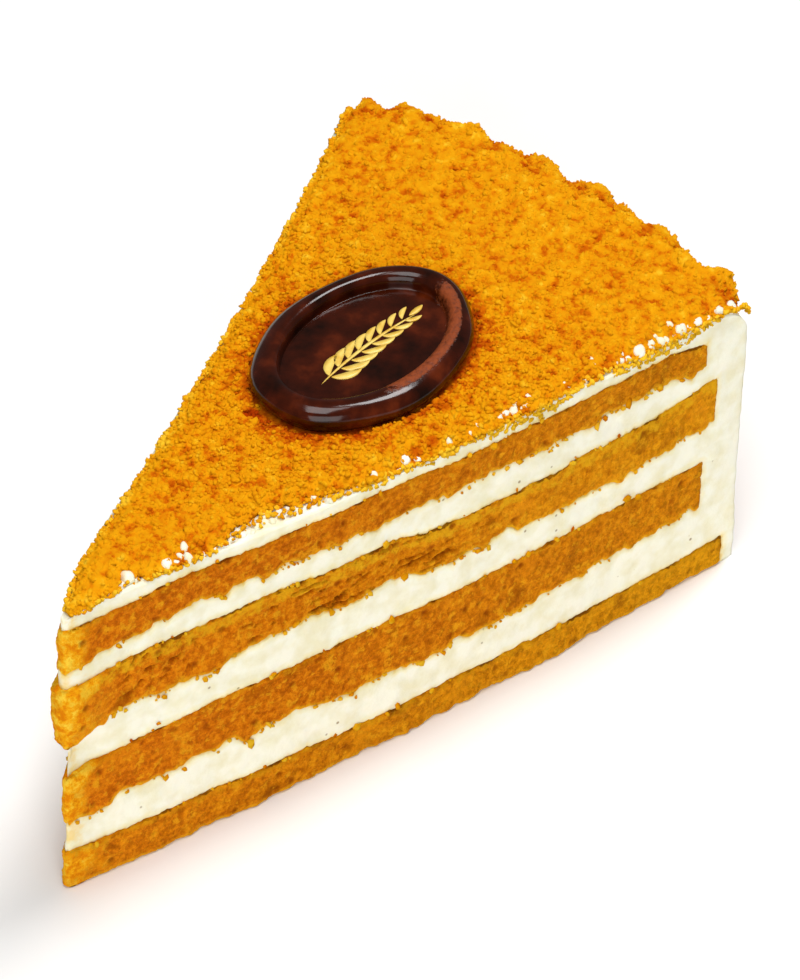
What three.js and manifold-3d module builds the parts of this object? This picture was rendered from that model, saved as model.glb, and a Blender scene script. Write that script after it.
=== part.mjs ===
// A slice of layered honey cake: four sponges with cream between them, a cream coat over the top
// and down the rim, a skin of cake crumbs on the coat, and a chocolate seal pressed into the crumbs.
//
// Millimetres, +Z up. The cut tip points to -X, the rim of the cake is at +X, and the slice stands
// on z = 0. Inside the functions a place in the slice is given by r, the distance from the line
// where the two cuts would cross, and v, which is -1 on the near cut face and 1 on the far one.
import * as THREE from 'three';
import { mergeVertices } from 'three/addons/utils/BufferGeometryUtils.js';
import Module from 'manifold-3d';

const { degToRad, lerp, clamp, smoothstep } = THREE.MathUtils;
const wasm = await Module();
wasm.setup();

// ---- Driving dimensions -------------------------------------------------------------------------

const WEDGE_ANGLE = degToRad(34);       // about a tenth of a round cake, cut by eye
const CAKE_RADIUS = 122.5;            // out to the crumbs, along the near cut
const RIM_RUNOUT = 3.5;                 // the far cut is this much longer than the near one
const TIP_START = 5.2;                  // the knife leaves a blunt tip this far from the crossing
const TIP_NOSE = 0.9;                   // how far the blunt tip is rounded forward
const NEAR_BULGE = 2.2;                 // the near cut face bows outwards by this much
const FAR_HOLLOW = 2.0;                 // and the far cut face bows inwards by this much
const AXIS_X = -64.15;                  // where the two cuts would cross
const AXIS_Y = -0.7;
const GAP = 0.3;                        // clearance between neighbouring pieces

// Sponges from the bottom up. A height pair is [at the tip, at the rim]. "rim" is where the sponge
// ends inside the cream coat, "closing" how much it thins there and "swell" how far it stands out
// round the tip.
const SPONGES = [
  { bottom: [0, 0], top: [6.6, 5.0], rim: 118.6, closing: 0, swell: 0.2 },
  { bottom: [14.0, 14.2], top: [23.4, 22.2], rim: 113.5, closing: 0, swell: 0.0 },
  { bottom: [30.1, 29.1], top: [39.0, 37.8], rim: 115.4, closing: 0, swell: 1.1 },
  { bottom: [43.7, 41.2], top: [49.4, 46.2], rim: 113.0, closing: 2.1, swell: 0.6 },
];
const FILLING_SWELL = [-0.2, -0.7, 0.3];
const CREAM_TOP = [52.2, 48.9];         // top of the cream coat
const CRUMB_TOP = [54.1, 50.8];         // mean top of the crumbs
const RIM_CRUMBS = 1.6;                 // mean thickness of the crumbs on the rim
const CRUMB_FOOT = 1.0;                 // the crumbs stop this high above the underside

const TIP_FADE = 9;                     // the nose and the swells die away over this length
const END_FADE = 8;                     // and so do a sponge's waves before its rim end
const TOP_WAVE = 0.3;                   // unevenness of a sponge's top
const UNDERSIDE_WAVE = 0.75;            // its underside is more ragged
const WAVE_LENGTH = 7;                  // and how long those waves are
const WAVES_ACROSS = 2.6;
const FACE_RELIEF = 0.4;                // roughness of the cut faces
const RELIEF_LENGTH = 4.5;
const CREAM_WAVE = 0.25;                // gentle waves in the cream's top
const CREAM_WAVE_LENGTH = 12;
const RIM_WAVE = 0.5;                   // and in its wall at the rim
const RIM_WAVE_LENGTH = 16;
const RIM_WAVES_ACROSS = 2.2;

const CRUMB_PITCH = 1.85;               // spacing of the crumbs on the top
const RIM_CRUMB_PITCH = 2.7;            // and on the rim
const CRUMB_RELIEF = 0.62;              // how far single crumbs stand up or sink
const DRIFT = 0.35;                     // slow rise and fall of the bed of crumbs
const DRIFT_LENGTH = 9;
const NEAR_CRUST_EDGE = [0.3, 2.9];     // the crumbs stop this far short of the near cut face
const FAR_CRUST_EDGE = [0.1, 1.2];      // and of the far one
const SHOULDER_DROP = 2.8;              // the crumbs round off the cake's top edge
const SHOULDER_WIDTH = 6;
const OVERSIZE = 6;                     // what a block for cutting reaches past the slice

const SEAL_R = 70.2;                    // centre of the seal from the crossing of the cuts
const SEAL_Y = -1.2;
const SEAL_LENGTH = 37.4;
const SEAL_WIDTH = 26.2;
const SEAL_TURN = degToRad(-2);
const SEAL_SINK = 0.5;                  // how deep the seal is pressed into the crumbs
const SEAL_RIM_WIDTH = 4.8;
const SEAL_RIM_HEIGHT = 4.3;
const SEAL_FLOOR = 2.4;                 // thickness of the seal inside its rim

const ALONG = 32;                       // cells of a layer from tip to rim
const ACROSS = 4;                       // from one cut face to the other
const SPONGE_RISE = 3;                  // and up through a sponge

// ---- Unevenness ---------------------------------------------------------------------------------

// A repeatable random number between -1 and 1 for each lattice point.
function scatter(i, j, seed) {
  const wave = Math.sin(i * 127.1 + j * 311.7 + seed * 74.7) * 43758.5453;
  return 2 * (wave - Math.floor(wave)) - 1;
}

// Smooth random waves between -1 and 1, one lattice unit from bump to hollow.
function waves(x, y, seed) {
  const i = Math.floor(x);
  const j = Math.floor(y);
  const s = smoothstep(x - i, 0, 1);
  const t = smoothstep(y - j, 0, 1);
  const front = lerp(scatter(i, j, seed), scatter(i + 1, j, seed), s);
  const back = lerp(scatter(i, j + 1, seed), scatter(i + 1, j + 1, seed), s);
  return lerp(front, back, t);
}

// ---- The wedge ----------------------------------------------------------------------------------

// Every layer has its cells' ends at the same r, so that neighbours' faces run parallel.
const KNOTS = Array.from({ length: ALONG }, (_, k) => lerp(TIP_START, SPONGES[3].rim - 1, k / ALONG));

// Height of a surface that falls from the tip to the rim.
function fall(pair, r) {
  return lerp(pair[0], pair[1], r / CAKE_RADIUS);
}

// The plan position of (r, v), with the layer's swell round the tip.
function plan(r, v, swell = 0) {
  const angle = v * WEDGE_ANGLE / 2;
  const reach = r * (1 + RIM_RUNOUT / CAKE_RADIUS * (v + 1) / 2);
  const along = clamp((r - TIP_START) / (CAKE_RADIUS - TIP_START), 0, 1);
  const bow = 4 * along * (1 - along) * lerp(NEAR_BULGE, FAR_HOLLOW, (v + 1) / 2);
  const tip = 1 - smoothstep(r, TIP_START, TIP_START + TIP_FADE);
  const x = reach * Math.cos(angle) - tip * (swell + TIP_NOSE * (1 - v * v));
  const y = reach * Math.sin(angle) - bow + tip * swell * v;
  return new THREE.Vector2(AXIS_X + x, AXIS_Y + y);
}

// Top and underside of each sponge as a function of (r, v). The waves die away at the rim end.
function spongeLevel(index, side, r, v) {
  const sponge = SPONGES[index];
  if (index === 0 && side === 'bottom') return 0;
  const amount = side === 'top' ? TOP_WAVE : UNDERSIDE_WAVE;
  const seed = index * 2 + (side === 'top' ? 0 : 1);
  const end = smoothstep(r, sponge.rim - END_FADE, sponge.rim);
  const wave = amount * (1 - end) * waves(r / WAVE_LENGTH, WAVES_ACROSS * v, seed);
  const share = side === 'top' ? -0.7 : 0.3;
  return fall(sponge[side], r) + wave + share * sponge.closing * end;
}

// Keeps only the places of the vertices and joins those that coincide.
function closed(geometry) {
  geometry.deleteAttribute('normal');
  geometry.deleteAttribute('uv');
  return mergeVertices(geometry, 1e-4);
}

// A closed block of cells. place(k, v, w) gives the point of knot k, across v, and w from 0 to 1 up.
function block(cells, place) {
  const box = new THREE.BoxGeometry(cells[0], 2, 1, ...cells);
  const { array } = box.index;
  const under = box.groups[5];
  for (let i = under.start; i < under.start + under.count; i += 6) {
    const [a, b, d, , c] = array.slice(i, i + 5);
    array.set([a, b, c, a, c, d], i);   // the same diagonals below as above
  }
  const position = box.attributes.position;
  for (let i = 0; i < position.count; i += 1) {
    const k = Math.round(position.getX(i) + cells[0] / 2);
    const point = place(k, position.getY(i), position.getZ(i) + 0.5);
    position.setXYZ(i, point.x, point.y, point.z);
  }
  return closed(box);
}

// A sponge or a filling: lower and upper give its heights, rims its end below and above.
function layer({ lower, upper, rims, swell, rise, seed }) {
  return block([ALONG, ACROSS, rise], (k, v, w) => {
    const r = k < ALONG ? KNOTS[k] : lerp(rims[0], rims[1], w);
    const z = lerp(lower(r, v), upper(r, v), w);
    const { x, y } = plan(r, v, swell);
    const cut = Math.abs(v) > 0.99 && k < ALONG ? Math.sign(v) : 0;
    const rough = FACE_RELIEF * waves(r / RELIEF_LENGTH, z / RELIEF_LENGTH + 9 * v, seed);
    return new THREE.Vector3(x, y + cut * rough, z);
  });
}

function sponge(index) {
  const { rim, swell } = SPONGES[index];
  return layer({
    lower: (r, v) => spongeLevel(index, 'bottom', r, v),
    upper: (r, v) => spongeLevel(index, 'top', r, v),
    rims: [rim, rim],
    swell,
    rise: SPONGE_RISE,
    seed: 20 + index,
  });
}

// The filling on top of a sponge, up to the next one.
function filling(index) {
  return layer({
    lower: (r, v) => spongeLevel(index, 'top', r, v) + GAP,
    upper: (r, v) => spongeLevel(index + 1, 'bottom', r, v) - GAP,
    rims: [SPONGES[index].rim, SPONGES[index + 1].rim],
    swell: FILLING_SWELL[index],
    rise: 1,
    seed: 30 + index,
  });
}

// ---- The coats ----------------------------------------------------------------------------------

// The coat turns over a rounded shoulder and runs down the rim. Each step after the last knot has
// its inner end on a sponge's end wall, its outer end [in from the rim, below the cream's top]
// or at the same height, and the outward direction there.
const SHOULDER = [
  { sponge: 3, level: 0, from: [6.6, 0.1], out: [0.15, 1] },
  { sponge: 3, level: 0.3, from: [3.4, 0.8], out: [0.45, 0.9] },
  { sponge: 3, level: 0.65, from: [1.2, 2.4], out: [0.8, 0.6] },
  { sponge: 3, level: 1, from: [0.2, 5.4], out: [1, 0.15] },
];
const WALL = [2, 1, 0].flatMap((index) => [0, 1].map((level) => ({ sponge: index, level, out: [1, 0] })));
const TURN = [...SHOULDER, ...WALL];
const CREAM_RADIUS = CAKE_RADIUS - RIM_CRUMBS;

// The inner end of a step of the coat, clear of the sponge's end wall.
function coatInside(step, v) {
  const { rim } = SPONGES[step.sponge];
  const top = spongeLevel(step.sponge, 'top', rim, v);
  const bottom = spongeLevel(step.sponge, 'bottom', rim, v);
  const corner = step === SHOULDER[0] ? GAP : 0;
  return { r: rim + GAP, z: lerp(top, bottom, step.level) + corner };
}

function rimWave(v, z) {
  return RIM_WAVE * waves(RIM_WAVES_ACROSS * v, z / RIM_WAVE_LENGTH, 41);
}

// The outer end of a step of the coat, lifted outwards.
function coatOutside(step, v, lift) {
  const { z } = coatInside(step, v);
  const [inward, down] = step.from ?? [0, 0];
  const height = step.from ? fall(CREAM_TOP, CREAM_RADIUS) - down : z;
  const r = CREAM_RADIUS - inward + rimWave(v, z);
  return { r: r + lift * step.out[0], z: height + lift * step.out[1] };
}

function creamTop(r, v) {
  return fall(CREAM_TOP, r) + CREAM_WAVE * waves(r / CREAM_WAVE_LENGTH, WAVES_ACROSS * v, 40);
}

// A shell over the top and the rim, between the given lifts off the cream's outer surface.
// Without a lower lift it reaches inwards to the sponges and fillings.
function coat(lowerLift, upperLift) {
  return block([ALONG + TURN.length - 1, ACROSS, 1], (k, v, w) => {
    if (k < ALONG) {
      const r = KNOTS[k];
      const { x, y } = plan(r, v, 0);
      const inside = lowerLift === null ? spongeLevel(3, 'top', r, v) + GAP : creamTop(r, v) + lowerLift;
      return new THREE.Vector3(x, y, w > 0.5 ? creamTop(r, v) + upperLift : inside);
    }
    const step = TURN[k - ALONG];
    const inner = lowerLift === null ? coatInside(step, v) : coatOutside(step, v, lowerLift);
    const place = w > 0.5 ? coatOutside(step, v, upperLift) : inner;
    const { x, y } = plan(place.r, v);
    return new THREE.Vector3(x, y, place.z);
  });
}

// Conversions between three.js geometry and a solid that can be cut.
function solid(geometry) {
  return new wasm.Manifold(new wasm.Mesh({
    numProp: 3,
    vertProperties: Float32Array.from(geometry.attributes.position.array),
    triVerts: Uint32Array.from(geometry.index.array),
  }));
}

function geometryOf(manifold) {
  const mesh = manifold.getMesh();
  const geometry = new THREE.BufferGeometry();
  geometry.setAttribute('position', new THREE.BufferAttribute(mesh.vertProperties, 3));
  geometry.setIndex(new THREE.BufferAttribute(mesh.triVerts, 1));
  return geometry;
}

// ---- The crumbs ---------------------------------------------------------------------------------

const SEAL_CENTRE = new THREE.Vector2(AXIS_X + SEAL_R, AXIS_Y + SEAL_Y);
const SEAL_BASE = fall(CRUMB_TOP, SEAL_R) - SEAL_SINK;
const TOP_SLOPE = (CRUMB_TOP[1] - CRUMB_TOP[0]) / CAKE_RADIUS;

// Whether a plan position lies under the seal, with room for a crumb round it.
function underSeal(x, y) {
  const offset = new THREE.Vector2(x, y).sub(SEAL_CENTRE).rotateAround(new THREE.Vector2(), -SEAL_TURN);
  const room = 0.9 * CRUMB_PITCH;
  return Math.hypot(offset.x / (SEAL_LENGTH / 2 + room), offset.y / (SEAL_WIDTH / 2 + room)) < 1;
}

// Height of the crumb (i, j): a grain on the falling top, flat under the seal, lower at the rim.
function crumbHeight(x, y, i, j) {
  if (underSeal(x, y)) return SEAL_BASE - GAP + TOP_SLOPE * (x - SEAL_CENTRE.x);
  const r = Math.hypot(x - AXIS_X, y - AXIS_Y);
  const angle = Math.atan2(y - AXIS_Y, x - AXIS_X);
  const rim = CAKE_RADIUS + RIM_RUNOUT * (0.5 + angle / WEDGE_ANGLE);
  const grain = CRUMB_RELIEF * scatter(i, j, 50) + DRIFT * waves(x / DRIFT_LENGTH, y / DRIFT_LENGTH, 51);
  const shoulder = SHOULDER_DROP * clamp((r - rim) / SHOULDER_WIDTH + 1, 0, 1.4) ** 2.2;
  return fall(CRUMB_TOP, r) + grain - shoulder;
}

// A bed of crumbs: a staggered grid of grains over the whole plan of the slice.
function crumbBed() {
  const length = CAKE_RADIUS + RIM_RUNOUT + 2 * OVERSIZE;
  const width = 2 * CAKE_RADIUS * Math.sin(WEDGE_ANGLE / 2) + 2 * OVERSIZE;
  const cells = [Math.round(length / CRUMB_PITCH), Math.round(width / CRUMB_PITCH)];
  const box = new THREE.BoxGeometry(length, width, 1, ...cells, 1);
  box.translate(AXIS_X + length / 2 - OVERSIZE, AXIS_Y, 0.5);
  const position = box.attributes.position;
  for (let n = 0; n < position.count; n += 1) {
    const i = Math.round(position.getX(n) / CRUMB_PITCH);
    const j = Math.round(position.getY(n) / CRUMB_PITCH);
    const x = position.getX(n) + CRUMB_PITCH * (0.25 * (j % 2) + 0.22 * scatter(i, j, 52));
    const y = position.getY(n) + CRUMB_PITCH * 0.22 * scatter(i, j, 53);
    position.setXYZ(n, x, y, position.getZ(n) > 0.5 ? crumbHeight(x, y, i, j) : 0);
  }
  return closed(box);
}

// A drum sector with grains on its rim and ragged edges along both cuts.
function crumbDrum() {
  const across = Math.round(CAKE_RADIUS * WEDGE_ANGLE / RIM_CRUMB_PITCH);
  const rise = Math.round(CRUMB_TOP[1] / RIM_CRUMB_PITCH);
  const along = Math.round(CAKE_RADIUS / RIM_CRUMB_PITCH);
  return block([along, across, rise], (k, v, w) => {
    const z = w * (CRUMB_TOP[0] + OVERSIZE);
    const row = Math.round(w * rise);
    const grain = k === along ? CRUMB_RELIEF * scatter(Math.round(v * across), row, 60) : 0;
    const r = lerp(TIP_START, CAKE_RADIUS + rimWave(v, z), k / along) + grain;
    const { x, y } = plan(r, v);
    const ragged = (1 + scatter(k, 7 * v, 61)) / 2;
    const edge = v < 0 ? NEAR_CRUST_EDGE : FAR_CRUST_EDGE;
    const stop = lerp(edge[0], edge[1], ragged ** 2) * smoothstep(r, TIP_START, 2 * TIP_FADE);
    const cut = Math.abs(v) > 0.99 ? Math.sign(v) : 0;
    return new THREE.Vector3(x, y - cut * stop, z);
  });
}

function crumbCoat() {
  const shell = solid(coat(GAP, OVERSIZE));
  const size = 4 * CAKE_RADIUS;
  const above = closed(new THREE.BoxGeometry(size, size, size).translate(0, 0, size / 2 + CRUMB_FOOT));
  const cuts = [crumbBed(), crumbDrum(), above];
  return geometryOf(cuts.reduce((crumbs, cut) => crumbs.intersect(solid(cut)), shell));
}

// ---- The seal -----------------------------------------------------------------------------------

// The rim's section as [share of the rim's width from its inner edge, height over the seal's base].
const SEAL_SECTION = [
  [-0.1, SEAL_FLOOR],
  [0.06, SEAL_FLOOR + 0.5],
  [0.25, SEAL_RIM_HEIGHT - 0.5],
  [0.46, SEAL_RIM_HEIGHT],
  [0.81, SEAL_RIM_HEIGHT - 1.2],
  [1, 0.35 * SEAL_RIM_HEIGHT],
  [0.86, 0],
];

// Like a wax seal: a sunken floor inside a thick rolled rim that ran out unevenly when pressed.
// A round dish is turned first, then its rim is pulled apart to an oval of even rim width.
function seal() {
  const half = SEAL_WIDTH / 2;
  const inner = half - SEAL_RIM_WIDTH;
  const stretch = (SEAL_LENGTH - SEAL_WIDTH) / 2;
  const points = SEAL_SECTION.map(([share, z]) => new THREE.Vector3(inner + share * SEAL_RIM_WIDTH, z, 0));
  const rim = new THREE.CatmullRomCurve3(points).getPoints(11).map(({ x, y }) => new THREE.Vector2(x, y));
  const section = [new THREE.Vector2(0, 0), ...rim.reverse(), new THREE.Vector2(0, SEAL_FLOOR)];
  const dish = new THREE.LatheGeometry(section, 44).rotateX(Math.PI / 2);
  const position = dish.attributes.position;
  for (let i = 0; i < position.count; i += 1) {
    const radius = Math.hypot(position.getX(i), position.getY(i));
    const angle = Math.atan2(position.getY(i), position.getX(i));
    const onRim = smoothstep(radius, inner, half);
    const spread = 1 + onRim * (0.022 * Math.sin(3 * angle + 0.6) + 0.013 * Math.sin(7 * angle + 2));
    const height = 1 + onRim * (0.09 * Math.sin(2 * angle + 1.1) + 0.05 * Math.sin(5 * angle));
    const x = (radius * spread + stretch * Math.min(1, radius / inner)) * Math.cos(angle);
    const y = radius * spread * Math.sin(angle);
    position.setXYZ(i, x, y, height * position.getZ(i));
  }
  return closed(dish);
}

// ---- The slice ----------------------------------------------------------------------------------

const FINISH = {
  sponge: { color: 0xcc690f, roughness: 0.95 },
  base: { color: 0xb9680d, roughness: 0.95 },
  cream: { color: 0xf8f2dc, roughness: 0.55 },
  crumbs: { color: 0xed960a, roughness: 0.95 },
  chocolate: { color: 0x4a1a08, roughness: 0.22 },
};

const slice = new THREE.Group();

function add(name, geometry, finish) {
  const material = new THREE.MeshStandardMaterial({ ...FINISH[finish], metalness: 0 });
  const mesh = new THREE.Mesh(geometry, material);
  mesh.name = name;
  slice.add(mesh);
  return mesh;
}

SPONGES.forEach((_, index) => add(`sponge_${index + 1}`, sponge(index), index ? 'sponge' : 'base'));
FILLING_SWELL.forEach((_, index) => add(`filling_${index + 1}`, filling(index), 'cream'));
add('cream_coat', coat(null, 0), 'cream');
add('crumb_coat', crumbCoat(), 'crumbs');
const chocolate = add('chocolate_seal', seal(), 'chocolate');
chocolate.position.set(SEAL_CENTRE.x, SEAL_CENTRE.y, SEAL_BASE);
chocolate.rotation.set(0, -Math.atan(TOP_SLOPE), SEAL_TURN);

export default slice;
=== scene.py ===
# %% [markdown]
# # A slice of honey cake
#
# Four thin honey sponges lie between layers of sour cream. Cream also coats the top and the rim,
# dry cake crumbs cover the coat, and an oval chocolate seal is pressed into the crumbs.
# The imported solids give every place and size. This lesson gives each of them its real surface.

# %% Load the frame
import math

import bmesh
import bpy
import numpy as np
from mathutils import Matrix, Quaternion, Vector, noise


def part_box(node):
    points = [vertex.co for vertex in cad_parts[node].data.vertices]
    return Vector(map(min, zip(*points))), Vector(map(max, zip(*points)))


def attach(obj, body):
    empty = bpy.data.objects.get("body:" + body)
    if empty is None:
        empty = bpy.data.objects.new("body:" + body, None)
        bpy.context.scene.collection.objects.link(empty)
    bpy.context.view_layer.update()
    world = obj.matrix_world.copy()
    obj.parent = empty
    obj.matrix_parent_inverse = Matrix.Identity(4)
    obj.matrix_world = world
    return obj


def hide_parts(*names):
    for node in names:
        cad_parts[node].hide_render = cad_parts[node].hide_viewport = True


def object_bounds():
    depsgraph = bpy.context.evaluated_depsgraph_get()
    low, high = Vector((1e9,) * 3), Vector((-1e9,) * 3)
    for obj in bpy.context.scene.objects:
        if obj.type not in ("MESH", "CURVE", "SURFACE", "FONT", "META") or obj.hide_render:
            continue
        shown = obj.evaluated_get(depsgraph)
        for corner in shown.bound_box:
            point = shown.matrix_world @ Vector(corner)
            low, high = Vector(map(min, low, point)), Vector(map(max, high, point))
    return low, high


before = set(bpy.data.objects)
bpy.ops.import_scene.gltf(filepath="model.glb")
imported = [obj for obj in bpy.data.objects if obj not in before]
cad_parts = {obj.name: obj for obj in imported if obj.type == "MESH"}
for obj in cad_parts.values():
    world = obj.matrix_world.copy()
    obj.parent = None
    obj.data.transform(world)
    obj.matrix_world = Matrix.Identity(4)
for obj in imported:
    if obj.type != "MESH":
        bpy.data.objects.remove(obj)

cad_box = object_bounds()
scene = bpy.context.scene
MM = 0.001
print("the solids reach", [round(side / MM, 1) for side in cad_box[1] - cad_box[0]], "mm")

# %% [markdown]
# ## Where a place in the slice lies
#
# A layered cake is easiest to describe by how far a place is from the cake's middle, r, by how far
# it is from one cut face to the other, v, and by its height. The near cut is v = -1, the far cut
# is v = 1. All later cells think in millimetres and in (r, v, height), and only the last step of
# each piece turns a place into x, y and z in metres. The numbers are the solids' own.

# %% The wedge
WEDGE = math.radians(34)
HALF_WEDGE = WEDGE / 2
CAKE_RADIUS = 122.5
RIM_RUNOUT = 3.5  # the rim stands further out at the far cut by this much
TIP_START = 5.2  # the blunt tip lies this far from the cake's middle
TIP_NOSE = 0.9
TIP_FADE = 9.0
TIP_SKEW = 1.5  # the far cut curves in at the tip, which narrows it
TIP_PINCH, TIP_PINCH_LENGTH = 0.35, 1.8  # the tip's corners are rounded off over this length
NEAR_BULGE = 2.2
FAR_HOLLOW = 2.0
CORNER_PULL = (0.2, 3.2)  # rounding of the near and the far corner at the rim
CORNER_FROM = (0.85, 0.8)  # where it starts, towards the near and the far cut
CORNER_START = 112  # and how far from the middle
AXIS_X = -64.15
AXIS_Y = -0.7


def clamp(value, low=0.0, high=1.0):
    return min(max(value, low), high)


def mix(start, end, share):
    return start + (end - start) * share


def smoothstep(value, low, high):
    share = clamp((value - low) / (high - low))
    return share * share * (3 - 2 * share)


def window(value, start, full, fading, end):
    """0 before the start and after the end, 1 from full to fading."""
    return smoothstep(value, start, full) * (1 - smoothstep(value, fading, end))


def plan(r, v, swell=0.0):
    """The x and y of a place. The blunt tip is rounded forward by its nose and the layer's swell."""
    v *= 1 - TIP_PINCH * (1 - clamp((r - TIP_START) / TIP_PINCH_LENGTH)) ** 2
    angle = v * HALF_WEDGE
    pull = (CORNER_PULL[0] * smoothstep(-v, CORNER_FROM[0], 1)
            + CORNER_PULL[1] * smoothstep(v, CORNER_FROM[1], 1))
    reach = r * (1 + RIM_RUNOUT / CAKE_RADIUS * (v + 1) / 2) - pull * smoothstep(r, CORNER_START, CAKE_RADIUS)
    along = clamp((r - TIP_START) / (CAKE_RADIUS - TIP_START))
    bow = 4 * along * (1 - along) * mix(NEAR_BULGE, FAR_HOLLOW, (v + 1) / 2)
    tip = 1 - smoothstep(r, TIP_START, TIP_START + TIP_FADE)
    x = reach * math.cos(angle) - tip * (swell + TIP_NOSE * (1 - v * v))
    y = reach * math.sin(angle) - bow + tip * (swell * v - TIP_SKEW * (v + 1) / 2)
    return AXIS_X + x, AXIS_Y + y


def fall(pair, r):
    """Height of a surface that runs straight from the tip to the rim."""
    return mix(pair[0], pair[1], r / CAKE_RADIUS)


# %% The levels of the layers
SPONGES = [
    {"bottom": (0.0, 0.0), "top": (6.6, 5.0), "rim": 118.6, "closing": 0.0, "swell": 0.2},
    {"bottom": (14.0, 14.2), "top": (23.4, 22.2), "rim": 113.5, "closing": 0.0, "swell": 0.0},
    {"bottom": (30.1, 29.1), "top": (39.0, 37.8), "rim": 115.4, "closing": 0.0, "swell": 1.1},
    {"bottom": (43.7, 41.2), "top": (49.4, 46.2), "rim": 113.0, "closing": 2.1, "swell": 0.3},
]
CLOSING_SHARE = {"top": -0.7, "bottom": 0.3}  # how the thinning at the rim moves each level
CREAM_SWELL = [-0.2, -0.7, 0.3, 0.0]
CREAM_TOP = (52.2, 48.9)
CRUMB_TOP = (54.1, 50.8)
RIM_CRUMBS = 1.6
CREAM_RADIUS = CAKE_RADIUS - RIM_CRUMBS
END_FADE = 8.0
WAVE_LENGTH = 7.0
WAVES_ACROSS = 2.6
WAVE_HEIGHT = {"top": 0.3, "bottom": 0.75}


def scatter(i, j, seed):
    """The solids' repeatable random number between -1 and 1 for a lattice point."""
    wave = math.sin(i * 127.1 + j * 311.7 + seed * 74.7) * 43758.5453
    return 2 * (wave - math.floor(wave)) - 1


def waves(x, y, seed):
    """The solids' smooth random waves, one unit from bump to hollow."""
    i, j = math.floor(x), math.floor(y)
    s, t = smoothstep(x - i, 0, 1), smoothstep(y - j, 0, 1)
    front = mix(scatter(i, j, seed), scatter(i + 1, j, seed), s)
    back = mix(scatter(i, j + 1, seed), scatter(i + 1, j + 1, seed), s)
    return mix(front, back, t)


def sponge_level(index, side, r, v):
    """Height of a sponge's top or bottom. Its waves die away towards the rim, where it thins."""
    sponge = SPONGES[index]
    if index == 0 and side == "bottom":
        return 0.0
    seed = index * 2 + (side == "bottom")
    end = smoothstep(r, sponge["rim"] - END_FADE, sponge["rim"])
    wave = WAVE_HEIGHT[side] * (1 - end) * waves(r / WAVE_LENGTH, WAVES_ACROSS * v, seed)
    return fall(sponge[side], r) + wave + CLOSING_SHARE[side] * sponge["closing"] * end


for index, sponge in enumerate(SPONGES):
    low, high = (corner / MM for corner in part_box(f"sponge_{index + 1}"))
    reach = max(plan(sponge["rim"], step / 20)[0] for step in range(-20, 21))
    print(f"sponge {index + 1}: the rim end is {high.x - reach:+.2f} mm from the frame's,",
          f"the height {high.z - sponge['top'][0]:+.2f} mm")

# %% [markdown]
# ## Small tools
#
# A few helpers are used all through. One turns a hex colour from sRGB to linear light, one adds a
# shader node, one starts a finish with the patterns that it reads, and one lays thin washes of
# colour over a colour, as a painter would. Two more turn a finished bmesh into a piece of the
# slice. Noise is Blender's own, which is the same on every run.

# %% Colours and nodes


def linear(hex_colour):
    """An sRGB hex colour as the linear RGBA that shaders want."""
    parts = [int(hex_colour[i:i + 2], 16) / 255 for i in (1, 3, 5)]
    return (*[c / 12.92 if c <= 0.04045 else ((c + 0.055) / 1.055) ** 2.4 for c in parts], 1.0)


def plug(made, links):
    """Gives each named socket of a node a value or another node's output."""
    for socket, source in links.items():
        if isinstance(source, bpy.types.NodeSocket):
            made.id_data.links.new(source, made.inputs[socket])
        else:
            made.inputs[socket].default_value = source


def node(tree, kind, links=None, stops=(), **settings):
    """Adds a shader node with its settings, its sockets and the stops of its colour ramp."""
    made = tree.nodes.new("ShaderNode" + kind)
    for key, value in settings.items():
        setattr(made, key, value)
    if stops:
        elements = made.color_ramp.elements
        while len(elements) < len(stops):
            elements.new(1.0)
        for element, (position, colour) in zip(elements, stops):
            element.position = position
            element.color = linear(colour)
    plug(made, links or {})
    return made


def finish(name, noises, attributes=()):
    """Starts a material. Returns it, its node tree, its shader and what the shader reads: the place
    in metres, noise patterns given as (size in millimetres, detail, roughness), and attributes."""
    made = bpy.data.materials.new(name)
    made.use_nodes = True
    tree = made.node_tree
    place = node(tree, "TexCoord").outputs["Object"]
    read = {"place": place}
    for key, (size, detail, roughness) in noises.items():
        links = {"Vector": place, "Scale": per(size), "Detail": detail, "Roughness": roughness}
        read[key] = node(tree, "TexNoise", links).outputs["Fac"]
    for key in attributes:
        read[key] = node(tree, "Attribute", attribute_name=key).outputs["Fac"]
    return made, tree, tree.nodes["Principled BSDF"], read


def per(size):
    """Texture scale at which one cell of a pattern measures this many millimetres."""
    return 1 / (size * MM)


def wash(tree, colour, layers):
    """Lays colours over a colour in turn. A layer is (value, start, end, share, over): while the
    value goes from start to end, over comes in smoothly up to its share."""
    for value, start, end, share, over in layers:
        amount = node(tree, "MapRange", {0: value, 1: start, 2: end, 3: 0.0, 4: share},
                      interpolation_type="SMOOTHSTEP").outputs[0]
        over = linear(over) if isinstance(over, str) else over
        colour = node(tree, "Mix", {0: amount, 6: colour, 7: over}, data_type="RGBA").outputs[2]
    return colour


# %% Pieces


def place_piece(name, mesh, material, slot, nodes=()):
    """Puts a mesh in the scene as a piece that rides on the slice and stands for the given nodes."""
    mesh.shade_smooth()
    mesh.materials.append(material)
    made = bpy.data.objects.new(name, mesh)
    scene.collection.objects.link(made)
    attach(made, "root")
    if nodes:
        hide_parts(*nodes)
    print(f"{name}: {sum(len(face.vertices) - 2 for face in mesh.polygons)} triangles")


def finish_piece(name, bm, *rest):
    """Closes a bmesh that is modelled in millimetres and places it."""
    bmesh.ops.recalc_face_normals(bm, faces=bm.faces[:])
    bmesh.ops.scale(bm, verts=bm.verts[:], vec=(MM, MM, MM))
    mesh = bpy.data.meshes.new(name)
    bm.to_mesh(mesh)
    bm.free()
    place_piece(name, mesh, *rest)


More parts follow.
